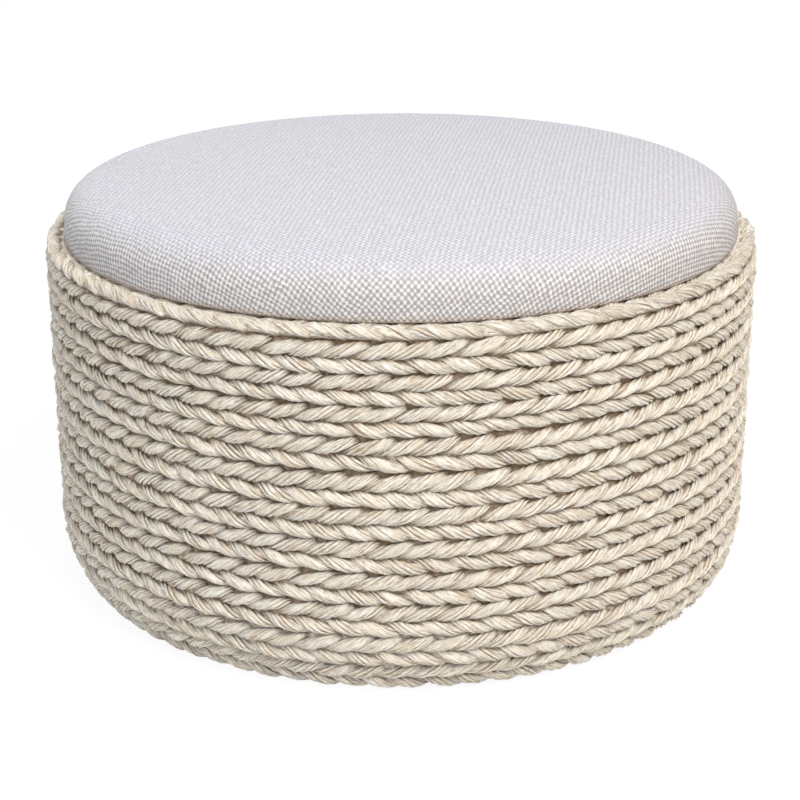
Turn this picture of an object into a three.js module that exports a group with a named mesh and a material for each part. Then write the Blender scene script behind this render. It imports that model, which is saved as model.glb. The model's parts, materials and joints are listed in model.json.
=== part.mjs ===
// Round outdoor footstool: a welded drum frame, one rope plait wound round it from the rim to
// the floor, and a loose round cushion that drops into the rim.
// Millimetres, +Z up, front towards -Y, origin on the floor under the middle of the drum.
import * as THREE from 'three';

// Overall sizes
const drumRadius = 300;
const rimHeight = 296.2;
const ropeClearance = 5;
const heelRadius = 130;
const heelSweep = THREE.MathUtils.degToRad(30.3);

// Rope
const courseSpacing = 25.9;
const plaitThick = 16.5;
const courseGap = 0.7;
const rimPlaitWide = 25.2;
const rimPlaitThick = 9.2;
const rimSetIn = 1;
const rimJointGap = 1;
const tailWidth = 5;
const tailThinShare = 0.45;
const plaitFlatShare = 0.6;
const turnSteps = 24;
const crossoverSteps = 6;
const crossoverEnd = THREE.MathUtils.degToRad(135);
const rimJointAzimuth = THREE.MathUtils.degToRad(90);

// Frame
const linerThick = 2;
const hoopDiameter = 16;
const hoopDrop = 18.2;
const uprightDiameter = 12;
const uprightCount = 8;
const uprightBendHeight = 84;
const uprightFootRun = 14;
const railDiameter = 10;
const railHeight = 152;
const slatWide = 36;
const slatThick = 5;
const slatEdgeClear = 63;
const slatCount = 5;

// Base
const glideHeight = 7.7;
const glideRadius = 19;
const glideChamfer = 2.5;
const glideCount = 4;
const ringWide = 30;
const ringThick = 4;
const panelThick = 6;
const drainRadius = 7;
const drainCircles = [80, 165];
const drainCounts = [6, 12];
const footSetIn = 0.4;

// Glide screws and nuts
const screwRadius = 3;
const screwHeadRadius = 5.8;
const screwHeadRim = 0.5;
const screwHeadRise = 2.8;
const screwSink = 1.2;
const screwTipChamfer = 0.8;
const screwHoleRadius = 3.45;
const nutAcross = 10;
const nutThick = 5;
const screwPastNut = 2;

// Cushion
const cushionRadius = 283.2;
const crownRise = 7.5;
const shoulderReach = 30;
const shoulderDrop = 26;
const seamSetIn = 1.8;
const seamRise = 0.7;
const sideRise = 5;
const sideHigh = 7.2;
const coverThick = 1.6;
const hemWide = 21;
const boardThick = 9;
const boardHoleCircle = 120;
const boardHoleCount = 6;
const liningThick = 1.2;

// Clearances
const fit = 0.3;
const softFit = 0.4;

// Roundness of what is turned or cut round
const roundSteps = 48;
const cushionSteps = 40;
const glideSteps = 16;
const screwSteps = 12;
const nutSides = 6;
const linerHeelSteps = 5;
const railSteps = 6;
const holeSteps = 12;
const tubeSides = 8;

const fullTurn = Math.PI * 2;
const leastShare = (steps) => Math.cos(Math.PI / steps);

const finishes = {
  rope: { color: 0xcdc0ae, roughness: 0.95, metalness: 0 },
  cushion: { color: 0xdcdbe2, roughness: 0.9, metalness: 0 },
  foam: { color: 0xe8e2cf, roughness: 1, metalness: 0 },
  frame: { color: 0x4a4642, roughness: 0.55, metalness: 0.3 },
  liner: { color: 0x6b6054, roughness: 0.9, metalness: 0 },
  plastic: { color: 0x2c2c2d, roughness: 0.6, metalness: 0 },
  steel: { color: 0xb4b6b8, roughness: 0.35, metalness: 1 },
};

function piece(name, geometry, finish) {
  const mesh = new THREE.Mesh(geometry, new THREE.MeshStandardMaterial(finishes[finish]));
  mesh.name = name;
  return mesh;
}

// A closed body through a row of rings of points, with flat ends.
function closedTube(rings) {
  const sides = rings[0].length;
  const corners = rings.flat().flatMap((point) => [point.x, point.y, point.z]);
  const faces = [];
  for (let ring = 0; ring < rings.length - 1; ring++) {
    for (let side = 0; side < sides; side++) {
      const here = ring * sides + side;
      const beside = ring * sides + (side + 1) % sides;
      faces.push(here, beside, here + sides, beside, beside + sides, here + sides);
    }
  }
  const lastRing = (rings.length - 1) * sides;
  for (let side = 1; side < sides - 1; side++) {
    faces.push(0, side + 1, side);
    faces.push(lastRing, lastRing + side, lastRing + side + 1);
  }
  const geometry = new THREE.BufferGeometry();
  geometry.setAttribute('position', new THREE.Float32BufferAttribute(corners, 3));
  geometry.setIndex(faces);
  geometry.computeVertexNormals();
  return geometry;
}

function turned(outline, steps) {
  const points = outline.map(([r, z]) => new THREE.Vector2(r, z));
  return new THREE.LatheGeometry(points, steps).rotateX(Math.PI / 2);
}

function closedOutline(outline) {
  return [...outline, outline[0]];
}

function roundHole(x, y, radius) {
  const hole = new THREE.Path();
  hole.absarc(x, y, radius, 0, fullTurn, true);
  return hole;
}

function slab(shape, thick) {
  const rounding = { bevelEnabled: false, curveSegments: holeSteps / 2 };
  return new THREE.ExtrudeGeometry(shape, { depth: thick, ...rounding });
}

function disc(radius, thick, holes, steps) {
  const shape = new THREE.Shape();
  const places = Array.from({ length: steps }, (_, step) => fullTurn * step / steps);
  shape.setFromPoints(places.map((a) => new THREE.Vector2(radius * Math.cos(a), radius * Math.sin(a))));
  shape.holes.push(...holes);
  return slab(shape, thick);
}

// Holes evenly spaced on a circle, the first one at the given azimuth.
function holeCircle(circle, count, radius, azimuth) {
  return Array.from({ length: count }, (_, place) => {
    const angle = azimuth + fullTurn * place / count;
    return roundHole(circle * Math.cos(angle), circle * Math.sin(angle), radius);
  });
}

// Moves an outline of [radius, height] points sideways by one distance, to the left of its run.
function setOver(outline, distance) {
  const last = outline.length - 1;
  return outline.map(([r, z], place) => {
    const [rBefore, zBefore] = outline[Math.max(place - 1, 0)];
    const [rAfter, zAfter] = outline[Math.min(place + 1, last)];
    const before = new THREE.Vector2(zBefore - z, r - rBefore).normalize();
    const after = new THREE.Vector2(z - zAfter, rAfter - r).normalize();
    if (place === 0) before.copy(after);
    if (place === last) after.copy(before);
    const lean = before.clone().add(after).normalize();
    const reach = distance / lean.dot(before);
    return [r + lean.x * reach, z + lean.y * reach];
  });
}

// The line that the middle of the plait follows: down the wall, then in round the heel.
const coreRadius = drumRadius - plaitThick / 2;
const heelCore = heelRadius - plaitThick / 2;
const windingTop = rimHeight - rimPlaitThick - courseGap;
const heelHeight = ropeClearance + heelCore * Math.sin(heelSweep);
const wallLength = windingTop - heelHeight;
const woundLength = wallLength + heelCore * heelSweep;
const courseCount = Math.round(woundLength / courseSpacing);
const pitch = woundLength / courseCount;

function coreAt(distance) {
  if (distance <= wallLength) return { r: coreRadius, z: windingTop - distance, lean: 0 };
  const lean = (distance - wallLength) / heelCore;
  return {
    r: coreRadius - heelCore * (1 - Math.cos(lean)),
    z: heelHeight - heelCore * Math.sin(lean),
    lean,
  };
}

// Across the plait and out from it, in shares of half its width and half its thickness.
const plaitShares = [
  [-1, 0], [-plaitFlatShare, 1], [plaitFlatShare, 1], [1, 0], [plaitFlatShare, -1], [-plaitFlatShare, -1],
];

function plaitSection({ r, z, lean }, azimuth, wide, thick, sink) {
  return plaitShares.map(([acrossShare, outShare]) => {
    const across = acrossShare * wide / 2;
    const out = outShare * thick / 2 - sink;
    const radius = r - across * Math.sin(lean) + out * Math.cos(lean);
    const height = z - across * Math.cos(lean) - out * Math.sin(lean);
    return new THREE.Vector3(radius * Math.cos(azimuth), radius * Math.sin(azimuth), height);
  });
}

// One unbroken plait. Every course runs level round the front and steps down to the next one at
// the back. At both ends the plait narrows to a tail, so that the rim and the foot stay level.
function windingRings() {
  const rings = [];
  for (let step = -crossoverSteps; step <= courseCount * turnSteps; step++) {
    const turn = Math.floor(step / turnSteps);
    const levelSteps = turnSteps - crossoverSteps;
    const crossed = Math.max(step - turn * turnSteps - levelSteps, 0) / crossoverSteps;
    const fall = THREE.MathUtils.smoothstep(crossed, 0, 1);
    const top = Math.max(turn + fall, 0) * pitch + courseGap / 2;
    const bottom = Math.min(turn + fall + 1, courseCount) * pitch - courseGap / 2;
    const wide = bottom - top;
    if (wide < tailWidth) continue;
    const thick = plaitThick * THREE.MathUtils.lerp(tailThinShare, 1, wide / (pitch - courseGap));
    const azimuth = crossoverEnd + fullTurn * step / turnSteps;
    const core = coreAt((top + bottom) / 2);
    rings.push(plaitSection(core, azimuth, wide, thick, (plaitThick - thick) / 2));
  }
  return rings;
}

// The finishing plait lies flat along the rim, and its ends butt together at the back.
const rimCore = { r: drumRadius - rimSetIn - rimPlaitWide / 2, z: rimHeight - rimPlaitThick / 2, lean: -Math.PI / 2 };

function rimRings() {
  const endAngle = Math.asin(rimJointGap / 2 / rimCore.r);
  return Array.from({ length: turnSteps + 1 }, (_, step) => {
    const ends = { 0: endAngle, [turnSteps]: -endAngle };
    const azimuth = rimJointAzimuth + fullTurn * step / turnSteps + (ends[step] ?? 0);
    return plaitSection(rimCore, azimuth, rimPlaitWide, rimPlaitThick, 0);
  });
}

// The least distance between points of a tube that are not on neighbouring rings.
function leastGap(rings) {
  let least = Infinity;
  rings.forEach((ring, place) => {
    rings.slice(place + crossoverSteps).forEach((other) => {
      ring.forEach((point) => other.forEach((far) => {
        least = Math.min(least, point.distanceTo(far));
      }));
    });
  });
  return least;
}

// The liner lies against the flats of the winding, from under the rim plait to the base ring.
const linerHeelRun = Array.from({ length: linerHeelSteps + 1 }, (_, step) => {
  return wallLength + (woundLength - wallLength) * step / linerHeelSteps;
});
const linerOuter = [0, ...linerHeelRun].map((distance) => {
  const { r, z, lean } = coreAt(distance);
  const inside = plaitThick / 2;
  const radius = (r - inside * Math.cos(lean)) * leastShare(turnSteps) - fit;
  return [radius, z + inside * Math.sin(lean)];
});
linerOuter[0][1] = rimHeight - rimPlaitThick - fit;
const linerInner = setOver(linerOuter, -linerThick);

// Radii and heights that follow from the liner
const linerFreeRadius = linerInner[0][0] * leastShare(roundSteps) - fit;
const frameRadius = linerFreeRadius - hoopDiameter / 2;
const hoopHeight = rimHeight - hoopDrop;
const hoopTop = hoopHeight + hoopDiameter / 2;
const hoopFreeRadius = (frameRadius - hoopDiameter / 2) * leastShare(roundSteps) - fit;
const outerSlatMiddle = hoopFreeRadius - slatEdgeClear - slatWide / 2;
const slatSpacing = outerSlatMiddle / ((slatCount - 1) / 2);
const ringOuterRadius = linerInner.at(-1)[0] * leastShare(roundSteps) - fit;
const ringInnerRadius = ringOuterRadius - ringWide;
const ringBottom = glideHeight + fit;
const ringTop = ringBottom + ringThick;
const footRadius = ringOuterRadius - uprightDiameter / 2 - footSetIn;
const panelRadius = footRadius - uprightDiameter / 2 - fit;
const panelBottom = ringTop + fit;
const nutBottom = panelBottom + panelThick + fit;
const glideCircle = (ringInnerRadius + panelRadius) / 2;
const glideAzimuth = THREE.MathUtils.degToRad(45);

function topHoop() {
  return new THREE.TorusGeometry(frameRadius, hoopDiameter / 2, tubeSides, roundSteps).translate(0, 0, hoopHeight);
}

// A tube that stands on the base ring, sweeps out over the heel and ends under the top hoop.
function upright(azimuth) {
  const place = (r, z) => new THREE.Vector3(r * Math.cos(azimuth), r * Math.sin(azimuth), z);
  const footTop = ringTop + fit + uprightFootRun;
  const middle = (footTop + uprightBendHeight) / 2;
  const route = new THREE.CurvePath();
  route.add(new THREE.LineCurve3(place(footRadius, ringTop + fit), place(footRadius, footTop)));
  route.add(new THREE.CubicBezierCurve3(
    place(footRadius, footTop), place(footRadius, middle),
    place(frameRadius, middle), place(frameRadius, uprightBendHeight),
  ));
  const topEnd = hoopHeight - hoopDiameter / 2 - fit;
  route.add(new THREE.LineCurve3(place(frameRadius, uprightBendHeight), place(frameRadius, topEnd)));
  const section = new THREE.Shape();
  section.absarc(0, 0, uprightDiameter / 2, 0, fullTurn);
  const rounding = { steps: 14, curveSegments: tubeSides / 2, bevelEnabled: false };
  return new THREE.ExtrudeGeometry(section, { extrudePath: route, ...rounding });
}

// A rod bent to the curve of the frame, which ties one upright to the next.
function rail(azimuth) {
  const endAngle = Math.asin((uprightDiameter / 2 + fit) / frameRadius);
  const span = fullTurn / uprightCount - endAngle * 2;
  return closedTube(Array.from({ length: railSteps + 1 }, (_, step) => {
    const along = azimuth + endAngle + span * step / railSteps;
    return Array.from({ length: tubeSides }, (_, side) => {
      const around = fullTurn * (side + 0.5) / tubeSides;
      const radius = frameRadius + Math.sin(around) * railDiameter / 2;
      const height = railHeight + Math.cos(around) * railDiameter / 2;
      return new THREE.Vector3(radius * Math.cos(along), radius * Math.sin(along), height);
    });
  }));
}

// A flat bar across the top hoop, its ends rounded to lie against the hoop.
function slat(middle) {
  const [low, high] = [middle - slatWide / 2, middle + slatWide / 2].map((y) => Math.asin(y / hoopFreeRadius));
  const shape = new THREE.Shape();
  shape.absarc(0, 0, hoopFreeRadius, low, high);
  shape.absarc(0, 0, hoopFreeRadius, Math.PI - high, Math.PI - low);
  return slab(shape, slatThick).translate(0, 0, hoopHeight - slatThick / 2);
}

function screwHoles() {
  return holeCircle(glideCircle, glideCount, screwHoleRadius, glideAzimuth);
}

function baseRing() {
  const places = Array.from({ length: roundSteps }, (_, step) => -fullTurn * step / roundSteps);
  const bore = new THREE.Path(places.map((a) => {
    return new THREE.Vector2(ringInnerRadius * Math.cos(a), ringInnerRadius * Math.sin(a));
  }));
  return disc(ringOuterRadius, ringThick, [bore, ...screwHoles()], roundSteps).translate(0, 0, ringBottom);
}

function drainedDisc(radius, thick, circles, counts, more) {
  const rows = circles.flatMap((circle, row) => holeCircle(circle, counts[row], drainRadius, 0));
  return disc(radius, thick, [roundHole(0, 0, drainRadius), ...rows, ...more], roundSteps);
}

// A nylon glide, turned, with a countersunk hole that takes the screw's head above the floor.
function glide() {
  const headHole = screwHeadRadius + fit;
  const headTop = screwSink + screwHeadRim + screwHeadRise;
  return turned(closedOutline([
    [screwHoleRadius, headTop],
    [headHole, screwSink + screwHeadRim],
    [headHole, 0],
    [glideRadius - glideChamfer, 0],
    [glideRadius, glideChamfer],
    [glideRadius, glideHeight - glideChamfer / 2],
    [glideRadius - glideChamfer / 2, glideHeight],
    [screwHoleRadius, glideHeight],
  ]), glideSteps);
}

function screw() {
  const tip = nutBottom + nutThick + screwPastNut;
  return turned([
    [0, screwSink],
    [screwHeadRadius, screwSink],
    [screwHeadRadius, screwSink + screwHeadRim - fit],
    [screwRadius, screwSink + screwHeadRim + screwHeadRise - fit],
    [screwRadius, tip - screwTipChamfer],
    [screwRadius - screwTipChamfer, tip],
    [0, tip],
  ], screwSteps);
}

function nut() {
  const shape = new THREE.Shape();
  const corner = nutAcross / 2 / leastShare(nutSides);
  shape.setFromPoints(Array.from({ length: nutSides }, (_, side) => {
    const angle = fullTurn * side / nutSides;
    return new THREE.Vector2(corner * Math.cos(angle), corner * Math.sin(angle));
  }));
  shape.holes.push(roundHole(0, 0, screwHoleRadius));
  return slab(shape, nutThick).translate(0, 0, nutBottom);
}

// The cushion's cover, from the edge of its hem under the board to the middle of the crown. Its
// board drops inside the top hoop, and its lower edge is tucked into the rim plait.
const slatTop = hoopHeight + slatThick / 2;
const hemBottom = slatTop + fit;
const dropRadius = hoopFreeRadius - fit;
const stepHeight = hoopTop + softFit;
const rimTipRadius = (rimCore.r - rimPlaitWide / 2) * leastShare(turnSteps) - softFit;
const rimFlatRadius = (rimCore.r - plaitFlatShare * rimPlaitWide / 2) * leastShare(turnSteps) - softFit;
const tuckHeight = rimHeight + softFit;
const seamHeight = tuckHeight + seamRise;
const sideTop = seamHeight + sideRise + sideHigh;
const crownEdgeRadius = cushionRadius - shoulderReach;
const crownEdgeHeight = sideTop + shoulderDrop;
const seatHeight = crownEdgeHeight + crownRise;

function coverFace() {
  const tuck = [
    [dropRadius - hemWide, hemBottom],
    [dropRadius, hemBottom],
    [dropRadius, stepHeight],
    [rimTipRadius, stepHeight],
    [rimTipRadius, rimCore.z],
    [rimFlatRadius, tuckHeight],
    [cushionRadius - seamSetIn, seamHeight],
    [cushionRadius, seamHeight + sideRise],
  ];
  const shoulderSteps = 4;
  const shoulder = Array.from({ length: shoulderSteps + 1 }, (_, step) => {
    const angle = Math.PI / 2 * step / shoulderSteps;
    return [
      crownEdgeRadius + shoulderReach * Math.cos(angle),
      sideTop + shoulderDrop * Math.sin(angle),
    ];
  });
  const crownSteps = 3;
  const crown = Array.from({ length: crownSteps }, (_, step) => {
    const reachShare = 1 - (step + 1) / crownSteps;
    return [crownEdgeRadius * reachShare, seatHeight - crownRise * reachShare ** 2];
  });
  return [...tuck, ...shoulder, ...crown];
}

function coverInside(distance) {
  const inside = setOver(coverFace(), distance);
  inside.at(-1)[0] = 0;
  return inside;
}

function cushionCover() {
  return turned([...coverInside(coverThick).toReversed(), ...coverFace()], cushionSteps);
}

// The board lies on the hem, and the foam on the board.
const boardBottom = hemBottom + coverThick + fit;
const boardTop = boardBottom + boardThick;
const boardRadius = (dropRadius - coverThick) * leastShare(cushionSteps) - fit;

function cushionFoam() {
  const filled = coverInside(coverThick + softFit).filter(([, z]) => z > boardTop + fit);
  const foamBottom = boardTop + fit;
  return turned([[0, foamBottom], [filled[0][0], foamBottom], ...filled], cushionSteps);
}

function cushionBoard() {
  const board = drainedDisc(boardRadius, boardThick, [boardHoleCircle], [boardHoleCount], []);
  return board.translate(0, 0, boardBottom);
}

function cushionLining() {
  const radius = (dropRadius - hemWide) * leastShare(cushionSteps) - fit;
  return disc(radius, liningThick, [], roundSteps).translate(0, 0, boardBottom - fit - liningThick);
}

// The drum
const drum = new THREE.Group();
const winding = windingRings();
const rim = rimRings();
drum.add(piece('rope_winding', closedTube(winding), 'rope'));
drum.add(piece('rim_plait', closedTube(rim), 'rope'));
drum.add(piece('drum_liner', turned(closedOutline([...linerInner, ...linerOuter.toReversed()]), roundSteps), 'liner'));
drum.add(piece('top_hoop', topHoop(), 'frame'));
drum.add(piece('base_ring', baseRing(), 'frame'));
for (let place = 0; place < uprightCount; place++) {
  const azimuth = fullTurn * (place + 0.5) / uprightCount;
  drum.add(piece(`upright_${place + 1}`, upright(azimuth), 'frame'));
  drum.add(piece(`mid_rail_${place + 1}`, rail(azimuth), 'frame'));
}
for (let place = 0; place < slatCount; place++) {
  const middle = slatSpacing * (place - (slatCount - 1) / 2);
  drum.add(piece(`seat_slat_${place + 1}`, slat(middle), 'frame'));
}
const basePanel = drainedDisc(panelRadius, panelThick, drainCircles, drainCounts, screwHoles());
drum.add(piece('base_panel', basePanel.translate(0, 0, panelBottom), 'plastic'));
for (let place = 0; place < glideCount; place++) {
  const azimuth = glideAzimuth + fullTurn * place / glideCount;
  const foot = new THREE.Group();
  foot.position.set(glideCircle * Math.cos(azimuth), glideCircle * Math.sin(azimuth), 0);
  foot.add(piece(`glide_${place + 1}`, glide(), 'plastic'));
  foot.add(piece(`glide_screw_${place + 1}`, screw(), 'steel'));
  foot.add(piece(`glide_nut_${place + 1}`, nut(), 'steel'));
  drum.add(foot);
}

// The cushion, which lifts out
const cushion = new THREE.Group();
cushion.add(piece('cushion_cover', cushionCover(), 'cushion'));
cushion.add(piece('cushion_foam', cushionFoam(), 'foam'));
cushion.add(piece('cushion_board', cushionBoard(), 'plastic'));
cushion.add(piece('cushion_lining', cushionLining(), 'plastic'));

console.log(`rope winding: ${courseCount} courses, least gap to itself ${leastGap(winding).toFixed(2)} mm`);
console.log(`rim plait: least gap between its ends ${leastGap(rim).toFixed(2)} mm`);

const footstool = new THREE.Group();
footstool.add(drum, cushion);
export default footstool;
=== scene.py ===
import json
import math

import bpy
import numpy as np
from mathutils import Matrix, Vector


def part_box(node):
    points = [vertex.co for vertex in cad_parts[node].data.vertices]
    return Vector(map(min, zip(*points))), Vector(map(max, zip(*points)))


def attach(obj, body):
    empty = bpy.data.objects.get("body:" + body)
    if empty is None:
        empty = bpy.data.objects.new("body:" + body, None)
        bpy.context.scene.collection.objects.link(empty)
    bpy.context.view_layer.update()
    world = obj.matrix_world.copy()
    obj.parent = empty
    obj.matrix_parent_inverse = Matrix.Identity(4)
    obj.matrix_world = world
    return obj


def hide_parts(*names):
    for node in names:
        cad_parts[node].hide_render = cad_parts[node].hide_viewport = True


# A rope drum with a round loose cushion in its rim. Metres, Z up, front towards -Y.
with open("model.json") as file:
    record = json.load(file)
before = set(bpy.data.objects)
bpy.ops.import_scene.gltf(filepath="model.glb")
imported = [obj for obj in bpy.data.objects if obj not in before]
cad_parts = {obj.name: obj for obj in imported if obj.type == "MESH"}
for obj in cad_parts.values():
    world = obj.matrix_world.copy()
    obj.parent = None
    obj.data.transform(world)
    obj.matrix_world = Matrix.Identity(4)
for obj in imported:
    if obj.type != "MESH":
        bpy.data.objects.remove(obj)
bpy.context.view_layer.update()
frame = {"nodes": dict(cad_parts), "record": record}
scene = bpy.context.scene
scene.view_settings.view_transform = "Standard"

view = {
    "aim": (0, 0, 0.1479),  # half way up the drum
    "distance": 1.575,
    "elevation": 20.0,
    "roll": -0.15,
    "lens": 80.1,
    "shift": (-0.0019, -0.0231),
    "reach": 20,  # how far the camera sees
}


def aimed(where, aim, roll=0.0):
    turn = (Vector(aim) - Vector(where)).to_track_quat("-Z", "Y").to_matrix().to_4x4()
    return Matrix.Translation(where) @ turn @ Matrix.Rotation(math.radians(roll), 4, "Z")


def makeCamera():
    lens = bpy.data.cameras.new("camera")
    lens.lens = view["lens"]
    lens.shift_x, lens.shift_y = view["shift"]
    lens.clip_end = view["reach"]
    camera = bpy.data.objects.new("camera", lens)
    scene.collection.objects.link(camera)
    rise = math.radians(view["elevation"])
    aim = Vector(view["aim"])
    where = aim + view["distance"] * Vector((0, -math.cos(rise), math.sin(rise)))
    camera.matrix_world = aimed(where, aim, view["roll"])
    scene.camera = camera


makeCamera()
print("camera ready")


def paint(red, green, blue):  # a colour off a paint chart, 0 to 255, as the shader wants it
    shares = [level / 255 for level in (red, green, blue)]
    return tuple(s / 12.92 if s < 0.04045 else ((s + 0.055) / 1.055) ** 2.4 for s in shares) + (1,)


class Wire:  # one socket, so that shader maths reads as an expression
    def __init__(self, board, socket):
        self.board = board
        self.socket = socket

    def maths(self, operation, *values):
        return self.board.node("ShaderNodeMath", {"operation": operation}, dict(enumerate(values)))

    def __add__(self, other):
        return self.maths("ADD", self, other)

    def __radd__(self, other):
        return self.maths("ADD", other, self)

    def __sub__(self, other):
        return self.maths("SUBTRACT", self, other)

    def __rsub__(self, other):
        return self.maths("SUBTRACT", other, self)

    def __mul__(self, other):
        return self.maths("MULTIPLY", self, other)

    def __rmul__(self, other):
        return self.maths("MULTIPLY", other, self)

    def cosine(self):
        return self.maths("COSINE", self)


class Board:  # the nodes of one material
    def __init__(self, name, **fixed):
        self.material = bpy.data.materials.new(name)
        self.material.use_nodes = True
        self.tree = self.material.node_tree
        self.surface = self.tree.nodes["Principled BSDF"]
        for socket, value in fixed.items():
            self.surface.inputs[socket.replace("_", " ")].default_value = value

    def node(self, kind, settings=None, sockets=None, out=0):
        made = self.tree.nodes.new(kind)
        for name, value in (settings or {}).items():
            setattr(made, name, value)
        for name, value in (sockets or {}).items():
            self.feed(made.inputs[name], value)
        return Wire(self, made.outputs[out])

    def feed(self, socket, value):
        if isinstance(value, Wire):
            self.tree.links.new(value.socket, socket)
        else:
            socket.default_value = value

    def end(self, **values):
        for socket, value in values.items():
            self.feed(self.surface.inputs[socket.replace("_", " ")], value)
        return self.material

    def attribute(self, name, out="Vector"):
        return self.node("ShaderNodeAttribute", {"attribute_name": name}, out=out)

    def place(self):
        return self.node("ShaderNodeTexCoord", out="Object")

    def part(self, vector, axis):
        return self.node("ShaderNodeSeparateXYZ", {}, {"Vector": vector}, out=axis)

    def noise(self, vector, scale, detail=2.0, roughness=0.5):
        sockets = {"Vector": vector, "Scale": scale, "Detail": detail, "Roughness": roughness}
        return self.node("ShaderNodeTexNoise", {}, sockets)

    def grain(self, vector, stretch, scale=1.0, detail=2.0, roughness=0.5):  # noise drawn out
        drawn = self.node("ShaderNodeVectorMath", {"operation": "MULTIPLY"}, {0: vector, 1: stretch})
        return self.noise(drawn, scale, detail, roughness)

    def ease(self, value, low, high):  # 0 below low, 1 above high, smooth between
        sockets = {"Value": value, "From Min": low, "From Max": high}
        return self.node("ShaderNodeMapRange", {"interpolation_type": "SMOOTHSTEP"}, sockets)

    def tone(self, value, low, high, most):
        return self.ease(value, low, high) * most

    def mix(self, share, first, second):
        return self.node("ShaderNodeMix", {"data_type": "RGBA"}, {0: share, 6: first, 7: second}, out=2)

    def bump(self, height, distance):
        return self.node("ShaderNodeBump", {}, {"Height": height, "Distance": distance})


# Meshes are made from arrays of corners and four-sided faces, with marks that their material reads.
def makePiece(name, corners, faces, material, body, marks=None):
    mesh = bpy.data.meshes.new(name)
    faces = np.asarray(faces, np.int32)
    mesh.vertices.add(len(corners))
    mesh.vertices.foreach_set("co", np.asarray(corners, np.float32).ravel())
    mesh.loops.add(faces.size)
    mesh.loops.foreach_set("vertex_index", faces.ravel())
    mesh.polygons.add(len(faces))
    starts = np.arange(0, faces.size, faces.shape[1], dtype=np.int32)
    mesh.polygons.foreach_set("loop_start", starts)
    mesh.update(calc_edges=True)
    for mark, values in (marks or {}).items():
        values = np.asarray(values, np.float32)
        kind = "FLOAT" if values.ndim == 1 else "FLOAT_VECTOR"
        layer = mesh.attributes.new(mark, kind, "POINT")
        layer.data.foreach_set("value" if values.ndim == 1 else "vector", values.ravel())
    mesh.shade_smooth()
    if material:
        mesh.materials.append(material)
    piece = bpy.data.objects.new(name, mesh)
    scene.collection.objects.link(piece)
    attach(piece, body)
    return piece


def gridFaces(rows, columns):  # faces of a grid of corners, joined round its columns
    row = np.arange(rows - 1)[:, None] * columns
    column = np.arange(columns)[None, :]
    beside = (column + 1) % columns
    ends = [row + column, row + beside, row + columns + beside, row + columns + column]
    return np.stack(ends, -1).reshape(-1, 4)


def drift(places, spacing, seed):  # smooth random values along places, seeded
    dice = np.random.default_rng(seed)
    steps = (places - places.min()) / spacing
    knots = dice.standard_normal(int(steps.max()) + 3)
    whole = steps.astype(int)
    share = steps - whole
    share = share * share * (3 - 2 * share)
    return knots[whole] * (1 - share) + knots[whole + 1] * share


def uneven(measure, along, seed=0):  # measure: how much, over what length, and the first of its seeds
    amount, spacing, first = measure
    return amount * drift(along, spacing, first + seed)


# The rope
rope = {
    "ivory": paint(249, 240, 224),
    "tan": paint(226, 207, 180),
    "white": paint(255, 252, 246),
    # Dark fibre specks, partly the cord's own tone and partly painted shade of its fibre relief, and
    # painted shade in the grooves between the yarns
    "shade": paint(180, 157, 131),
    # Painted shade deep in the plait, between the arms and under the rim plait
    "pocketShade": paint(149, 122, 95),
    # Fibres: how they are drawn out along and across the cord, then scale, detail and roughness
    "streaks": ((0.10, 0.60, 0.60), 1.0, 5.0, 0.65),
    "specks": ((0.17, 0.80, 0.80), 1.3, 4.0, 0.7),
    "patches": ((0.035, 0.25, 0.25), 1.0, 2.0),
    # Tones: where each comes in, where it is full, and how much of it there is then
    "tanTone": (0.40, 0.75, 0.7),
    "whiteTone": (0.46, 0.62, 0.9),
    "speckTone": (0.50, 0.64, 0.8),
    "grooveShadeTone": (0.40, 1.20, 0.8),
    "pocketShadeTone": (0.17, 0.54, 0.95),
    "tintShare": 0.06,
    "grooveSpecks": 1.8,
    "pocketSpecks": 0.4,
    "speckRelief": 0.8,
    "relief": 0.0045,
    "strands": 3,
    "repeat": 0.071,  # along the plait, until a strand is back in its place
    "halfWide": 0.0054,
    "halfDeep": 0.0053,
    "narrowest": 0.45,  # of a strand, where the plait tapers out
    "lay": 0.031,  # one turn of the yarns round a strand
    "yarns": 7,
    "yarnGroove": 0.24,
    "looseness": 0.85,
    "looseLimits": (0.1, 1.7),
    "sides": 28,
    "step": 0.0020,
    "fibreScale": 1000,  # fibres are laid out in millimetres
    "fibreReach": 5,
    "fibreApart": 700.0,  # from one strand to the next
    "fibreLay": 0.8,  # fibres lie a little straighter than the yarns
    "bedSides": 16,
    "bedSquareness": 0.5,
    # How much painted shade the bed gets, as a groove mark
    "bedGrooveShade": 0.3,
    # What is uneven: how much, over what length, and the first of its seeds
    "loose": (0.5, 0.016, 3000),
    "fluff": (0.03, 0.005, 2000),
    "tint": (1, 0.045, 0),
    "bedRough": (0.0005, 0.004, 0),
    "slip": (0.022, 0.08, 400),
    "swing": (0.05, 0.05, 500),
    "lift": (0.10, 0.05, 600),
    "swell": (0.045, 0.03, 700),
    "twist": (0.9, 0.08, 800),
    "yarnSeeds": 10,  # set aside for each strand
    "cornerSeeds": 50,
    # Half a repeat of a strand's way: a long arm in front, out to one side, and a short turn back behind
    "stations": (0, 0.1, 0.2, 0.3, 0.4, 0.45, 0.5),
    "ahead": (-0.0090, -0.0048, -0.0004, 0.0042, 0.0086, 0.0020, -0.0090),
    "above": (-0.0014, 0.0012, 0.0044, 0.0077, 0.0108, 0.0056, -0.0008),
    "below": (0.0008, 0.0034, 0.0062, 0.0086, 0.0102, 0.0050, 0.0014),
    "out": (-0.0038, 0.0004, 0.0040, 0.0042, 0.0008, -0.0038, -0.0038),
    "taper": (0.50, 0.78, 0.96, 0.92, 0.60, 0.50, 0.50),
    "rounding": 0.06,  # of a repeat, how far each bend is spread
    "waveSteps": 360,
}


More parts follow.
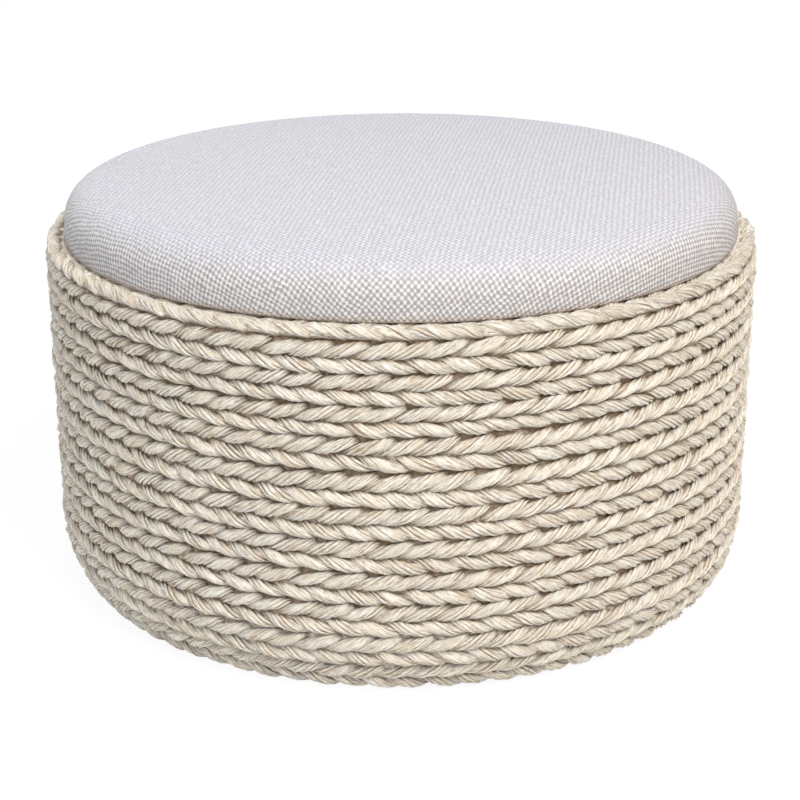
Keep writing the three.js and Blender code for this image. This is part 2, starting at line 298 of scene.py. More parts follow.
def ropeMaterial():
    board = Board("rope plait", Roughness=0.95, Specular_IOR_Level=0.15)
    fibre = board.attribute("fibre")
    streaks = board.grain(fibre, *rope["streaks"])
    specks = board.grain(fibre, *rope["specks"])
    patches = board.grain(fibre, *rope["patches"]) + board.attribute("tint", "Fac") * rope["tintShare"]
    groove = board.attribute("groove", "Fac") + (specks - 0.5) * rope["grooveSpecks"]
    pocketShade = board.attribute("depth", "Fac") + (specks - 0.5) * rope["pocketSpecks"]
    body = board.mix(board.tone(patches, *rope["tanTone"]), rope["ivory"], rope["tan"])
    body = board.mix(board.tone(streaks, *rope["whiteTone"]), body, rope["white"])
    # Dark fibre specks, partly the cord's own tone and partly painted shade of its fibre relief
    body = board.mix(board.tone(specks, *rope["speckTone"]), body, rope["shade"])
    # Painted shade in the grooves between the yarns and over the whole bed
    body = board.mix(board.tone(groove, *rope["grooveShadeTone"]), body, rope["shade"])
    # Painted shade: deeper in the plait, towards the liner and under the rim plait, the colour goes darker
    # and browner
    body = board.mix(board.tone(pocketShade, *rope["pocketShadeTone"]), body, rope["pocketShade"])
    relief = streaks - specks * rope["speckRelief"]
    return board.end(Base_Color=body, Normal=board.bump(relief, rope["relief"]))


def wave(phase, stops, others=None):  # straight runs between stations, their bends rounded
    samples = np.arange(rope["waveSteps"]) / rope["waveSteps"]
    run = np.interp(samples % 0.5, rope["stations"], stops)
    if others:  # the second half goes its own way
        run = np.where(samples < 0.5, run, -np.interp(samples % 0.5, rope["stations"], others))
    reach = int(rope["rounding"] * len(samples) / 2)
    weights = np.hanning(2 * reach + 3)[1:-1]
    shifts = range(-reach, reach + 1)
    soft = sum(weight * np.roll(run, shift) for weight, shift in zip(weights, shifts))
    return np.interp(phase, samples, soft / weights.sum(), period=1)


# One strand: a cord of twisted yarns, flattened where it lies in the plait
def strandSkin(centre, out, halfWide, halfDeep, turn, along, seed):
    sides, yarns = rope["sides"], rope["yarns"]
    run = np.gradient(centre, axis=0)
    run /= np.linalg.norm(run, axis=1)[:, None]
    up = np.cross(out, run)
    up /= np.linalg.norm(up, axis=1)[:, None]
    face = np.cross(run, up)
    corner = 2 * np.pi * np.arange(sides) / sides
    yarn = np.rint(corner * yarns / (2 * np.pi)).astype(int) % yarns
    yarnSeeds = [seed * rope["yarnSeeds"] + number for number in range(yarns)]
    cornerSeeds = [seed * rope["cornerSeeds"] + number for number in range(sides)]
    loose = np.stack([uneven(rope["loose"], along, number) for number in yarnSeeds], 1)
    tint = np.stack([uneven(rope["tint"], along, number) for number in yarnSeeds], 1)
    fluff = np.stack([uneven(rope["fluff"], along, number) for number in cornerSeeds], 1)
    slack = np.clip(rope["looseness"] + loose[:, yarn], *rope["looseLimits"])
    groove = (1 - np.abs(np.cos(yarns / 2 * corner))) * slack
    reach = (1 - rope["yarnGroove"] * groove) * (1 + fluff)
    around = turn[:, None] + corner[None, :]
    across = (halfWide[:, None] * reach * np.cos(around))[:, :, None]
    outward = (halfDeep[:, None] * reach * np.sin(around))[:, :, None]
    skin = centre[:, None, :] + up[:, None, :] * across + face[:, None, :] * outward
    spin = around - rope["fibreLay"] * turn[:, None]
    place = np.broadcast_to(along[:, None] * rope["fibreScale"] + seed * rope["fibreApart"], spin.shape)
    fibre = np.stack([place, rope["fibreReach"] * np.cos(spin), rope["fibreReach"] * np.sin(spin)], -1)
    return skin, fibre, tint[:, yarn], groove


# The inside of the plait, where its strands cross: a rough bed that closes the gaps between the arms
def bedSkin(along, place, wide, deep, low, seed):
    sides = rope["bedSides"]
    skin, fibre = [], []
    for side in range(sides):
        corner = 2 * np.pi * side / sides
        aside = np.sign(math.cos(corner)) * abs(math.cos(corner)) ** rope["bedSquareness"]
        out = np.sign(math.sin(corner)) * abs(math.sin(corner)) ** rope["bedSquareness"]
        rough = uneven(rope["bedRough"], along, seed * rope["cornerSeeds"] + side)
        skin.append(place(along, aside * wide, low + out * deep + rough))
        beside = [np.full(len(along), rope["fibreReach"] * share) for share in (aside, out)]
        fibre.append(np.stack([along * rope["fibreScale"], *beside], 1))
    plain = np.zeros((len(along), sides))
    # The bed's even groove mark gives it painted shade all over
    return np.stack(skin, 1), np.stack(fibre, 1), plain, plain + rope["bedGrooveShade"]


# A plait of strands. place(along, aside, out) gives a point beside the plait's middle line.
def plaitSkin(along, place, outward, seed, wideShare, thickShare):
    skins = []
    for strand in range(rope["strands"]):
        name = seed * rope["strands"] + strand
        phase = along / rope["repeat"] + strand / rope["strands"] + uneven(rope["slip"], along, name)
        aside = wave(phase, rope["above"], rope["below"]) * (1 + uneven(rope["swing"], along, name))
        out = wave(phase, rope["out"]) * (1 + uneven(rope["lift"], along, name)) * thickShare
        where = along + wave(phase, rope["ahead"])
        taper = wave(phase, rope["taper"])
        swell = 1 + uneven(rope["swell"], along, name)
        narrow = rope["narrowest"] + (1 - rope["narrowest"]) * wideShare
        halfWide = rope["halfWide"] * taper * swell * narrow
        halfDeep = rope["halfDeep"] * taper * (2 - swell) * thickShare
        twisted = np.abs(phase % 1 - 0.5) * rope["repeat"] / rope["lay"]  # one way above, the other below
        turn = 2 * np.pi * twisted + uneven(rope["twist"], along, name)
        centre = place(where, aside * wideShare, out)
        skins.append(strandSkin(centre, outward(where), halfWide, halfDeep, turn, along, name))
    return skins


def tubeFaces(rows, sides):  # a tube of rings of corners, its two ends closed
    half = np.arange(sides // 2 - 1)
    start = np.stack([half, sides - 1 - half, sides - 2 - half, half + 1], -1)
    return np.concatenate([gridFaces(rows, sides), start, (rows - 1) * sides + start[:, ::-1]])


def plaitPieces(name, skins, cuts, material, replaced, depth):
    for number, (first, last) in enumerate(zip(cuts[:-1], cuts[1:])):
        corners, faces, fibre, tint, groove = [], [], [], [], []
        rows = last - first + 1
        count = 0
        for skin, fibres, tints, grooves in skins:
            sides = skin.shape[1]
            corners.append(skin[first:last + 1].reshape(-1, 3))
            faces.append(tubeFaces(rows, sides) + count)
            count += rows * sides
            fibre.append(fibres[first:last + 1].reshape(-1, 3))
            tint.append(tints[first:last + 1].reshape(-1))
            groove.append(grooves[first:last + 1].reshape(-1))
        corners = np.concatenate(corners)
        marks = {
            "fibre": np.concatenate(fibre),
            "tint": np.concatenate(tint),
            "groove": np.concatenate(groove),
            "depth": depth(corners),
        }
        title = f"{name}_{number + 1:02d}"
        piece = makePiece(title, corners, np.concatenate(faces), material, "base", marks)
        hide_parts(replaced)


# The winding follows the wall down and then the heel in, as its solid does
winding = {
    "coreRadius": 0.29175,
    "heelCore": 0.12175,
    "heelSweep": math.radians(30.3),
    "clearance": 0.005,
    "proud": 0.0003,  # the first course, above its solid
    "courses": 11,
    "crossover": 0.25,  # of a turn, at the back
    "crossoverEnd": math.radians(135),
    "cutAzimuth": 90,  # each course is a piece of its own, cut at the back
    "leastShare": 0.2,
    "rise": 0.0038,  # the courses about two thirds up lie this much higher
    "riseHeight": 0.200,
    "riseReach": 0.045,
    "face": 0.0090,  # outward from the middle of the plait
    "thick": 0.0140,
    "sunk": 0.004,  # where the plait tapers out
    "sway": 0.0007,
    "swayTimes": 3,
    "swayFrom": 0.8,
    "swayRough": (0.0005, 0.12, 31),
    "heelFull": 0.0020,  # the heel's middle stands this much prouder
    "seed": 1,
    "bedSeed": 91,
    "bedDeep": 0.0045,
    "bedLow": -0.0016,
    "bedOverlap": 1.15,
}
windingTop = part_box("rope_winding")[1].z + winding["proud"]
heelHeight = winding["clearance"] + winding["heelCore"] * math.sin(winding["heelSweep"])
wallLength = windingTop - heelHeight
woundLength = wallLength + winding["heelCore"] * winding["heelSweep"]
pitch = woundLength / winding["courses"]


def coreAt(distance):  # down the wall and in under the heel
    lean = np.clip((distance - wallLength) / winding["heelCore"], 0, 1)
    radius = winding["coreRadius"] - winding["heelCore"] * (1 - np.cos(lean))
    onHeel = heelHeight - winding["heelCore"] * np.sin(lean)
    return radius, np.where(distance < wallLength, windingTop - distance, onHeel), lean


def risen(distance):
    off = (coreAt(distance)[1] - winding["riseHeight"]) / winding["riseReach"]
    return distance - winding["rise"] * np.exp(-off ** 2)


# The rope's material paints shade by this depth, darker deeper between the arms
def windingDepth(corners):  # 0 at the drum's face, 1 at its liner
    radius = np.hypot(corners[:, 0], corners[:, 1])
    onHeel = np.hypot(radius - winding["coreRadius"] + winding["heelCore"], corners[:, 2] - heelHeight)
    onWall = corners[:, 2] > heelHeight
    out = np.where(onWall, radius - winding["coreRadius"], onHeel - winding["heelCore"])
    return np.clip((winding["face"] - out) / winding["thick"], 0, 1)


def windRope(material):
    turns = winding["courses"] + winding["crossover"]
    along = np.arange(0, 2 * np.pi * winding["coreRadius"] * turns, rope["step"])
    turned = along / (2 * np.pi * winding["coreRadius"]) - winding["crossover"]
    azimuth = winding["crossoverEnd"] + 2 * np.pi * turned
    whole = np.floor(turned)
    crossed = np.clip((turned - whole - 1 + winding["crossover"]) / winding["crossover"], 0, 1)
    fall = crossed * crossed * (3 - 2 * crossed)
    top = risen(np.maximum(whole + fall, 0) * pitch)
    bottom = risen(np.minimum(whole + fall + 1, winding["courses"]) * pitch)
    wide = (bottom - top) / pitch
    kept = wide > winding["leastShare"]
    along, azimuth, top, bottom, wide = (values[kept] for values in (along, azimuth, top, bottom, wide))
    middle = (top + bottom) / 2
    thick = rope["narrowest"] + (1 - rope["narrowest"]) * np.minimum(wide, 1)
    sunk = winding["sunk"] * (1 - np.minimum(wide, 1))
    sway = winding["sway"] * np.sin(winding["swayTimes"] * azimuth + winding["swayFrom"])
    sway = sway + uneven(winding["swayRough"], along)

    def place(where, aside, out):
        turned = np.interp(where, along, azimuth)
        radius, height, lean = coreAt(np.interp(where, along, middle + sway) - aside)
        out = out - sunk + winding["heelFull"] * np.sin(np.pi * lean / winding["heelSweep"])
        reach = radius + out * np.cos(lean)
        drop = out * np.sin(lean)
        return np.stack([reach * np.cos(turned), reach * np.sin(turned), height - drop], 1)

    def outward(where):
        turned = np.interp(where, along, azimuth)
        lean = coreAt(np.interp(where, along, middle))[2]
        return np.stack([np.cos(lean) * np.cos(turned), np.cos(lean) * np.sin(turned), -np.sin(lean)], 1)

    skins = plaitSkin(along, place, outward, winding["seed"], wide, thick)
    bedWide = wide * pitch / 2 * winding["bedOverlap"]
    bedDeep = winding["bedDeep"] * thick
    skins.append(bedSkin(along, place, bedWide, bedDeep, winding["bedLow"], winding["bedSeed"]))
    cuts = [0]
    for course in range(1, winding["courses"]):
        cuts.append(int(np.argmin(np.abs(azimuth - math.radians(winding["cutAzimuth"] + 360 * course)))))
    cuts.append(len(along) - 1)
    plaitPieces("rope_course", skins, cuts, material, "rope_winding", windingDepth)


# The finishing plait lies flat on the rim, its middle under the cushion's edge, its ends butted at the back
rim = {
    "radius": 0.2840,
    "height": 0.2869,
    "lean": math.radians(-94),
    "halfWide": 0.0129,
    "outerShare": 1.18,  # of the plait's own half width
    "innerShare": 0.85,
    "innerDrop": 0.0045,
    "backShare": 0.4,  # of the lift, behind the plait's middle
    "face": 0.006,  # above the plait's middle
    "thick": 0.016,
    "jointAzimuth": math.radians(90),
    "jointGap": 0.001,
    "wave": 0.0003,
    "waves": 4,
    "seed": 40,
    "bedSeed": 92,
    "bedWide": 0.0105,
    "bedDeep": 0.0055,
    "bedLow": 0.0000,
}


# The rope's material paints shade by this, darker under the rim plait
def rimDepth(corners):  # 0 on top, 1 under the plait
    return np.clip((rim["height"] + rim["face"] - corners[:, 2]) / rim["thick"], 0, 1)


def layRim(material):
    length = 2 * np.pi * rim["radius"] - rim["jointGap"]
    count = int(length / rope["step"])
    along = np.linspace(0, length, count)
    cosLean, sinLean = math.cos(rim["lean"]), math.sin(rim["lean"])

    def azimuth(where):
        return rim["jointAzimuth"] + (np.clip(where, 0, length) + rim["jointGap"] / 2) / rim["radius"]

    def place(where, aside, out):
        turned = azimuth(where)
        inner = np.maximum(aside, 0) / rim["halfWide"]
        aside = aside * np.where(aside > 0, rim["innerShare"], rim["outerShare"])
        out = out * np.where(out > 0, 1, rim["backShare"]) - rim["innerDrop"] * inner ** 2
        reach = rim["radius"] + aside * sinLean + out * cosLean
        swell = rim["wave"] * np.sin(rim["waves"] * turned)
        height = rim["height"] + aside * cosLean - out * sinLean + swell
        return np.stack([reach * np.cos(turned), reach * np.sin(turned), height], 1)

    def outward(where):
        turned = azimuth(where)
        return np.stack([cosLean * np.cos(turned), cosLean * np.sin(turned), np.full(count, -sinLean)], 1)

    even = np.ones(count)
    skins = plaitSkin(along, place, outward, rim["seed"], even, even)
    skins.append(bedSkin(along, place, rim["bedWide"], rim["bedDeep"], rim["bedLow"], rim["bedSeed"]))
    plaitPieces("rope_rim", skins, [0, count - 1], material, "rim_plait", rimDepth)


ropePaint = ropeMaterial()
windRope(ropePaint)
layRim(ropePaint)
print("rope wound")


# The cushion: a woven cover drawn over foam on a board, its edge turned under and closed with a lining
weave = {
    "dot": paint(193, 192, 201),
    "sideDot": paint(197, 194, 193),  # below the crown, in light that comes off the rope
    # Between the raised dots: the weft's own grey and painted shade
    "web": paint(154, 150, 149),
    # Painted shade, deepest between the dots
    "gap": paint(118, 116, 120),
    "crownWeb": paint(166, 165, 172),  # between the yarns on top, where more light gets in
    "crown": (0.3180, 0.3360),  # heights
    "warm": paint(184, 164, 148),  # between the lowest yarns, in the light off the rope
    "warmHeights": (0.2950, 0.3005),
    "warpSpacing": 0.0025,
    "weftSpacing": 0.0029,
    "wander": 0.006,
    "wanderScale": 30.0,
    "wanderDetail": 3.0,
    "ribSpacing": 0.0043,  # the ribs that the yarns draw over the crown, from front to back
    "ribLean": math.radians(8),
    "ribShare": 0.32,
    "ribWander": 0.4,
    "slub": (260.0, 3.0, 0.6),
    "slubShare": 1.5,
    "warpSlub": (420, 60, 1),
    "weftSlub": (60, 360, 1),
    "yarnSlubShare": 0.9,
    "threads": (2600, 900, 1),
    "threadTone": 0.12,
    "threadRelief": 0.15,
    "dots": (-0.30, 0.55),
    "gaps": (0.40, 0.95),
    "gapShare": 0.7,
    # On the crown there is less painted shade between the dots
    "crownGapLoss": 0.4,
    "relief": 0.0006,
}


def weaveMaterial():
    board = Board("cushion weave", Roughness=0.9, Specular_IOR_Level=0.2)
    flat = board.attribute("flat")
    height = board.part(board.place(), "Z")
    crown = board.ease(height, *weave["crown"])
    wander = (board.noise(flat, weave["wanderScale"], weave["wanderDetail"]) - 0.5) * weave["wander"]
    across = board.part(flat, "X")
    along = board.part(flat, "Y")
    warp = ((across + wander) * (math.pi / weave["warpSpacing"])).cosine()
    weft = ((along + wander) * (math.pi / weave["weftSpacing"])).cosine()
    ribLine = across * math.cos(weave["ribLean"]) - along * math.sin(weave["ribLean"])
    rib = ((ribLine + wander * weave["ribWander"]) * (2 * math.pi / weave["ribSpacing"])).cosine()
    ribbed = crown * weave["ribShare"]
    slub = (board.noise(flat, *weave["slub"]) - 0.5) * weave["slubShare"]
    yarnSlub = board.grain(flat, weave["warpSlub"]) + board.grain(flat, weave["weftSlub"]) - 1.0
    crossing = warp * weft * (1 - ribbed) + rib * ribbed + slub + yarnSlub * weave["yarnSlubShare"]
    dots = board.ease(crossing, *weave["dots"])
    gaps = board.ease(0 - crossing, *weave["gaps"])
    threads = board.grain(flat, weave["threads"])
    # Painted light and shade: the web lighter on the crown and warm low down in light off the rope, the
    # dots warmer below the crown, and painted shade deepest between the dots, less of it on the crown
    web = board.mix(crown, weave["web"], weave["crownWeb"])
    web = board.mix(1 - board.ease(height, *weave["warmHeights"]), web, weave["warm"])
    colour = board.mix(dots, web, board.mix(crown, weave["sideDot"], weave["dot"]))
    colour = board.mix(gaps * (weave["gapShare"] - crown * weave["crownGapLoss"]), colour, weave["gap"])
    colour = board.mix(threads * weave["threadTone"], colour, weave["web"])
    relief = dots + threads * weave["threadRelief"]
    return board.end(Base_Color=colour, Normal=board.bump(relief, weave["relief"]))


foam = {
    "light": paint(236, 224, 190),
    "dark": paint(198, 182, 140),
    "pores": (700.0, 4.0, 0.7),
    "open": (0.4, 0.6),
    "relief": 0.0008,
    "inset": 0.0036,  # inside the cover's outer face
    "low": 0.2985,  # the cover's outline is followed down to here
    "under": [(0.2730, 0.2965), (0.2660, 0.2940), (0.2590, 0.2923), (0.2400, 0.2920)],
}


def foamMaterial():
    board = Board("cushion foam", Roughness=1.0, Specular_IOR_Level=0.1)
    pores = board.noise(board.place(), *foam["pores"])
    colour = board.mix(board.ease(pores, *foam["open"]), foam["dark"], foam["light"])
    return board.end(Base_Color=colour, Normal=board.bump(pores, foam["relief"]))


lining = {
    "dark": paint(40, 40, 42),
    "light": paint(78, 78, 80),
    "dimple": paint(34, 34, 35),
    "dimpleSpacing": 1900.0,  # radians to the metre
    "dimples": (0.2, 0.8),
    "dimpleShare": 0.5,
    "fibres": ((1.0, 2.4, 1.0), 420.0, 4.0, 0.7),
    "fibreTone": (0.35, 0.7),
    "fibreRelief": 0.4,
    "relief": 0.0004,
    "radius": 0.2388,
    "height": 0.2813,
    "thick": 0.0007,
    "rings": (0, 0.12, 0.19),
    "edge": 0.0003,
}


def liningMaterial():  # spun bonded cloth, pressed in a grid of small dimples
    board = Board("lining cloth", Roughness=0.9, Specular_IOR_Level=0.2)
    place = board.place()
    across = (board.part(place, "X") * lining["dimpleSpacing"]).cosine()
    along = (board.part(place, "Y") * lining["dimpleSpacing"]).cosine()
    dimples = board.ease(across * along, *lining["dimples"])
    fibres = board.grain(place, *lining["fibres"])
    colour = board.mix(board.ease(fibres, *lining["fibreTone"]), lining["dark"], lining["light"])
    colour = board.mix(dimples * lining["dimpleShare"], colour, lining["dimple"])
    relief = fibres * lining["fibreRelief"] - dimples
    return board.end(Base_Color=colour, Normal=board.bump(relief, lining["relief"]))


cover = {
    "crownRings": 34,
    "crownRise": 0.0075,
    "shoulderRings": 12,
    "shoulderFrom": 84,  # degrees
    "shoulderReach": 0.030,
    "shoulderDrop": 0.026,
    "fullness": 0.0012,
    "side": [(0.0004, 0.0395), (0.0004, 0.0430), (0.0002, 0.0465)],  # out, and down from the top
    "under": [  # radius and height: in over the rim, down its inside, round the board and up to the lining
        (0.2832, 0.2949), (0.2822, 0.2945), (0.2800, 0.2946), (0.2770, 0.2946), (0.2740, 0.2934),
        (0.2717, 0.2915), (0.2708, 0.2880), (0.2690, 0.2866), (0.2630, 0.2862), (0.2612, 0.2850),
        (0.2607, 0.2830), (0.2600, 0.2812), (0.2585, 0.2808), (0.2500, 0.2808), (0.2410, 0.2808),
        (0.2398, 0.2812), (0.2400, 0.2821),
    ],
    "cells": 46,  # across the square patch in the middle of the crown
    "patchRadius": 0.150,
    "thick": 0.0010,
    "slack": 0.0015,  # how far inside its full shape the cover starts
    "slide": 0.0010,
    "relaxing": 12,
    "pinLow": 0.2950,
    "pinHigh": 0.3040,
    "quality": 5,
    "mass": 0.3,
    "pressure": 8.0,
    "frames": 20,
}
tiny = 1e-9  # keeps a division off zero


def coverOutline():  # radius and height of the cover, from the middle of the crown to the edge of its hem
    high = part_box("cushion_cover")[1]
    radius, top = high.x + cover["fullness"], high.z + cover["fullness"]
    edge = radius - cover["shoulderReach"]
    edgeHeight = top - cover["crownRise"]
    rings = np.linspace(0, edge, cover["crownRings"])
    crown = [(r, top - cover["crownRise"] * (r / edge) ** 2) for r in rings]
    angles = np.radians(np.linspace(cover["shoulderFrom"], 0, cover["shoulderRings"]))
    shoulder = [(edge + cover["shoulderReach"] * math.cos(a),
                 edgeHeight - cover["shoulderDrop"] * (1 - math.sin(a))) for a in angles]
    side = [(radius + out, top - down) for out, down in cover["side"]]
    return np.array(crown + shoulder + side + cover["under"])


def inset(outline, depth):  # the outline moved in along its normals
    run = np.gradient(outline, axis=0)
    run /= np.hypot(run[:, 0], run[:, 1])[:, None]
    inward = np.stack([run[:, 1], -run[:, 0]], 1)
    return outline + depth * inward * np.where(outline[:, :1] > 0, 1, (0, 1))


# A closed round body from its outline: square cells in the middle above and below, rings of cells between.
# It gives corners, faces, the cloth's flat places, and how many corners and faces close the underside.
def roundBody(outline):
    cells = cover["cells"]
    u, v = np.meshgrid(np.linspace(-1, 1, cells + 1), np.linspace(-1, 1, cells + 1))
    unit = np.stack([u * np.sqrt(1 - v * v / 2), v * np.sqrt(1 - u * u / 2)], -1).reshape(-1, 2)
    number = np.arange((cells + 1) ** 2).reshape(cells + 1, cells + 1)
    border = np.concatenate([number[0, :-1], number[:-1, -1], number[-1, :0:-1], number[:0:-1, 0]])
    inner = np.setdiff1d(number, border)
    ends = [number[:-1, :-1], number[:-1, 1:], number[1:, 1:], number[1:, :-1]]
    patch = np.stack(ends, -1).reshape(-1, 4)
    first = int(np.argmax(outline[:, 0] > cover["patchRadius"]))
    run = np.concatenate([[0], np.cumsum(np.hypot(*np.diff(outline, axis=0).T))])
    around = unit[border]
    columns = len(border)
    reach = np.hypot(*unit.T) * outline[first, 0]
    crown = outline[:first + 1, 0]
    heights = np.interp(reach, crown, outline[:first + 1, 1])
    corners = [np.column_stack([unit * outline[first, 0], heights])]
    arcs = [np.interp(reach, crown, run[:first + 1])]
    faces = [patch]
    above = border
    for ring, (radius, height) in enumerate(outline[first + 1:]):
        corners.append(np.column_stack([around * radius, np.full(columns, height)]))
        arcs.append(np.full(columns, run[first + 1 + ring]))
        below = len(unit) + columns * ring + np.arange(columns)
        faces.append(np.stack([above, np.roll(above, -1), np.roll(below, -1), below], -1)[:, ::-1])
        above = below
    corners.append(np.column_stack([unit[inner] * outline[-1, 0], np.full(len(inner), outline[-1, 1])]))
    arcs.append(np.full(len(inner), run[-1]))
    under = np.empty(len(unit), int)
    under[border] = above
    under[inner] = above[-1] + 1 + np.arange(len(inner))
    faces.append(under[patch][:, ::-1])
    corners, arcs = np.concatenate(corners), np.concatenate(arcs)
    radius = np.maximum(np.hypot(corners[:, 0], corners[:, 1]), tiny)
    flat = np.column_stack([corners[:, :2] * (arcs / radius)[:, None], 0 * arcs])
    return corners, np.concatenate(faces), flat, len(inner), len(patch)


def relaxed(values, faces):  # evened out over the mesh's edges
    ends = np.concatenate([faces, np.roll(faces, 1, axis=1)]).ravel()
    others = np.concatenate([np.roll(faces, 1, axis=1), faces]).ravel()
    count = np.bincount(ends, minlength=len(values))
    for _ in range(cover["relaxing"]):
        flat = values.reshape(len(values), -1)
        mean = np.stack([np.bincount(ends, column[others], len(values)) / count for column in flat.T], 1)
        values = 0.5 * values + 0.5 * mean.reshape(values.shape)
    return values


def puffed(corners, faces):  # the cover blown up by cloth simulation and held at its full shape
    piece = makePiece("blown", corners, faces, None, "cushion")
    mesh = piece.data
    loose = np.clip((corners[:, 2] - cover["pinLow"]) / (cover["pinHigh"] - cover["pinLow"]), 0, 1)
    normals = np.empty(len(corners) * 3, np.float32)
    mesh.vertex_normals.foreach_get("vector", normals)
    normals = normals.reshape(-1, 3)
    start = corners - normals * (cover["slack"] * loose)[:, None]
    mesh.vertices.foreach_set("co", start.astype(np.float32).ravel())
    pins = piece.vertex_groups.new(name="pins")
    for point, share in enumerate(loose):
        pins.add([point], float(1 - share), "REPLACE")
    cloth = piece.modifiers.new("cloth", "CLOTH")
    cloth.settings.quality = cover["quality"]
    cloth.settings.mass = cover["mass"]
    cloth.settings.use_pressure = True
    cloth.settings.uniform_pressure_force = cover["pressure"]
    cloth.settings.vertex_group_mass = "pins"
    cloth.settings.effector_weights.gravity = 0
    cloth.collision_settings.use_collision = False
    cloth.point_cache.frame_end = cover["frames"]
    for step in range(1, cover["frames"] + 1):
        scene.frame_set(step)
    blown = np.empty(len(corners) * 3, np.float32)
    simulated = piece.evaluated_get(bpy.context.evaluated_depsgraph_get()).data
    simulated.vertices.foreach_get("co", blown)
    bpy.data.objects.remove(piece)
    scene.frame_set(1)
    moved = blown.reshape(-1, 3) - start
    push = (moved * normals).sum(1)
    print("cover blown up by", round(float(push.max()) * 1000, 1), "mm at most")
    slide = moved - normals * push[:, None]
    slid = np.maximum(np.linalg.norm(slide, axis=1), tiny)
    slide *= np.minimum(1, cover["slide"] * loose / slid)[:, None]
    push = relaxed(np.clip(push, 0, cover["slack"]), faces)  # the foam holds it inside, the weave outside
    return start + normals * (push * loose)[:, None] + relaxed(slide, faces)


def sewn(piece, *modifiers):  # each modifier is a kind and its settings, and all are applied
    for kind, settings in modifiers:
        modifier = piece.modifiers.new(kind.lower(), kind)
        for name, value in settings.items():
            setattr(modifier, name, value)
    mesh = bpy.data.meshes.new_from_object(piece.evaluated_get(bpy.context.evaluated_depsgraph_get()))
    piece.modifiers.clear()
    piece.data = mesh
    mesh.shade_smooth()


def makeCover():
    corners, faces, flat, innerCorners, innerFaces = roundBody(coverOutline())
    corners = puffed(corners, faces)
    corners, faces, flat = corners[:-innerCorners], faces[:-innerFaces], flat[:-innerCorners]
    marks = {"flat": flat}
    piece = makePiece("cushion_top", corners, faces, weaveMaterial(), "cushion", marks)
    sewn(piece, ("SOLIDIFY", {"thickness": cover["thick"], "offset": -1}),
         ("SUBSURF", {"levels": 1, "render_levels": 1}))
    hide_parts("cushion_cover")


def makeFoam():
    outline = inset(coverOutline(), foam["inset"])
    outline = np.concatenate([outline[outline[:, 1] > foam["low"]], foam["under"]])
    corners, faces = roundBody(outline)[:2]
    piece = makePiece("cushion_filling", corners, faces, foamMaterial(), "cushion")
    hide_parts("cushion_foam")


def makeLining():
    radius, height, thick = lining["radius"], lining["height"], lining["thick"]
    above = [(ring, height + thick) for ring in (*lining["rings"], radius - lining["edge"])]
    outline = above + [(radius, height + thick / 2), (radius - lining["edge"], height)]
    corners, faces = roundBody(np.array(outline))[:2]
    piece = makePiece("cushion_underside", corners, faces, liningMaterial(), "cushion")
    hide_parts("cushion_lining")
    2 * radius
    2 * radius
    math.pi * radius ** 2


makeCover()
makeFoam()
makeLining()
print("cushion sewn")


# The finishes of the pieces that keep their solid's shape
finishes = {
    "liner_sheet": {
        "colours": (paint(150, 126, 102), paint(112, 92, 74)),
        "grain": (260, 260, 900), "blend": (0.35, 0.65), "roughness": (0.85, 1.0), "relief": 0.0006,
    },
    "frame_paint": {
        "colours": (paint(62, 57, 52), paint(48, 44, 40)),
        "grain": (900, 900, 900), "blend": (0.3, 0.7), "roughness": (0.38, 0.55), "relief": 0.0001,
    },
    "base_plastic": {
        "colours": (paint(46, 46, 47), paint(34, 34, 35)),
        "grain": (1400, 1400, 1400), "blend": (0.3, 0.7), "roughness": (0.55, 0.75), "relief": 0.0002,
    },
    "glide_nylon": {
        "colours": (paint(38, 38, 38), paint(52, 51, 50)),
        "grain": (700, 700, 700), "blend": (0.45, 0.75), "roughness": (0.4, 0.6), "relief": 0.0001,
    },
    "stainless": {
        "colours": (paint(200, 201, 203), paint(168, 169, 171)), "metallic": 1.0,
        "grain": (300, 300, 6000), "blend": (0.3, 0.7), "roughness": (0.22, 0.42), "relief": 0.00003,
    },
}
mottle = {  # in each of them, fine grain and soft clouds
    "grainShare": 0.6,
    "grain": (1.0, 4.0, 0.6),
    "cloudShare": 0.4,
    "clouds": (18.0, 3.0),
}


def finishMaterial(name, finish):
    board = Board(name, Metallic=finish.get("metallic", 0.0))
    place = board.place()
    grain = board.grain(place, finish["grain"], *mottle["grain"])
    cloudy = board.noise(place, *mottle["clouds"])
    share = board.ease(grain * mottle["grainShare"] + cloudy * mottle["cloudShare"], *finish["blend"])
    smooth, rough = finish["roughness"]
    return board.end(Base_Color=board.mix(share, *finish["colours"]),
                     Roughness=share * (rough - smooth) + smooth,
                     Normal=board.bump(grain, finish["relief"]))


def dressFrame():
    made = {name: finishMaterial(name, finish) for name, finish in finishes.items()}
    slots = {row["node"]: row["material_slot"] for row in frame["record"]["subparts"]}
    for name, node in frame["nodes"].items():
        if slots[name] in made:
            node.data.materials.clear()
            node.data.materials.append(made[slots[name]])


dressFrame()
print("frame painted")


# The studio: a pale floor and soft light from above, a little stronger from the right
studio = {
    "lamps": {  # place, size, power and colour
        "key": ((0.95, -1.74, 2.45), 1.8, 114, (1.0, 0.97, 0.93)),
        "fill": ((-1.8, -1.6, 1.0), 2.2, 19, (0.78, 0.89, 1.0)),
        "back": ((-0.9, 2.4, 1.1), 2.0, 38, (1.0, 0.98, 0.95)),
        "top": ((-0.8, 0.3, 2.4), 1.8, 9, (0.97, 0.98, 1.0)),
    },
    "aim": (0, 0, 0.15),
    "sky": 0.47,
    "white": (1, 1, 1, 1),
    "floor": 0.85,
    "floorReach": 6,
    "floorGlow": 0.93,  # what the camera sees of the floor is this white, and all white far out
    "glow": (0.45, 1.30),  # from how far out, and to where
}


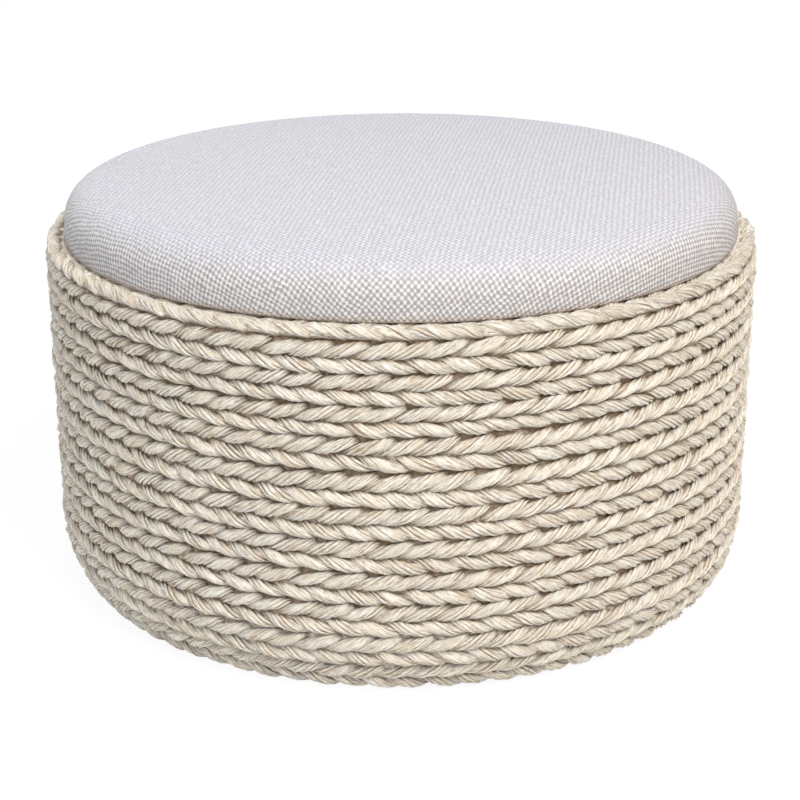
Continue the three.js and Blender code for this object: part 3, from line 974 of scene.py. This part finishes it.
def makeLamps():
    for name, (where, size, power, colour) in studio["lamps"].items():
        lamp = bpy.data.lights.new(name, "AREA")
        lamp.shape = "DISK"
        lamp.size = size
        lamp.energy = power
        lamp.color = colour
        stand = bpy.data.objects.new(name, lamp)
        stand.matrix_world = aimed(Vector(where), Vector(studio["aim"]))
        scene.collection.objects.link(stand)


def makeSky():  # plain light all round, and white where the camera or a gloss sees it
    world = bpy.data.worlds.new("studio")
    scene.world = world
    world.use_nodes = True
    nodes, links = world.node_tree.nodes, world.node_tree.links
    path = nodes.new("ShaderNodeLightPath")
    seen = nodes.new("ShaderNodeMath")
    seen.operation = "MAXIMUM"
    glossy = nodes.new("ShaderNodeMath")
    glossy.operation = "MAXIMUM"
    links.new(path.outputs["Is Camera Ray"], seen.inputs[0])
    links.new(path.outputs["Is Glossy Ray"], glossy.inputs[0])
    links.new(path.outputs["Is Transmission Ray"], glossy.inputs[1])
    links.new(glossy.outputs[0], seen.inputs[1])
    strength = nodes.new("ShaderNodeMapRange")
    strength.inputs["To Min"].default_value = studio["sky"]
    strength.inputs["To Max"].default_value = 1
    links.new(seen.outputs[0], strength.inputs["Value"])
    links.new(strength.outputs[0], nodes["Background"].inputs["Strength"])
    nodes["Background"].inputs["Color"].default_value = studio["white"]


def makeFloor():
    mesh = bpy.data.meshes.new("floor")
    reach = studio["floorReach"]
    corners = [(-reach, -reach, 0), (reach, -reach, 0), (reach, reach, 0), (-reach, reach, 0)]
    mesh.from_pydata(corners, [], [(0, 1, 2, 3)])
    floor = bpy.data.objects.new("floor", mesh)
    scene.collection.objects.link(floor)
    board = Board("pale floor", Base_Color=(*[studio["floor"]] * 3, 1), Roughness=1.0)
    light = board.node("ShaderNodeLightPath", out="Is Camera Ray")
    away = board.node("ShaderNodeVectorMath", {"operation": "LENGTH"}, {0: board.place()}, out="Value")
    glow = studio["floorGlow"] + board.ease(away, *studio["glow"]) * (1 - studio["floorGlow"])
    white = board.node("ShaderNodeEmission", {}, {"Color": studio["white"], "Strength": 1.0})
    shader = Wire(board, board.surface.outputs[0])
    end = board.node("ShaderNodeMixShader", {}, {0: light * glow, 1: shader, 2: white})
    board.feed(board.tree.nodes["Material Output"].inputs["Surface"], end)
    mesh.materials.append(board.material)


makeLamps()
makeSky()
makeFloor()
print("studio lit")
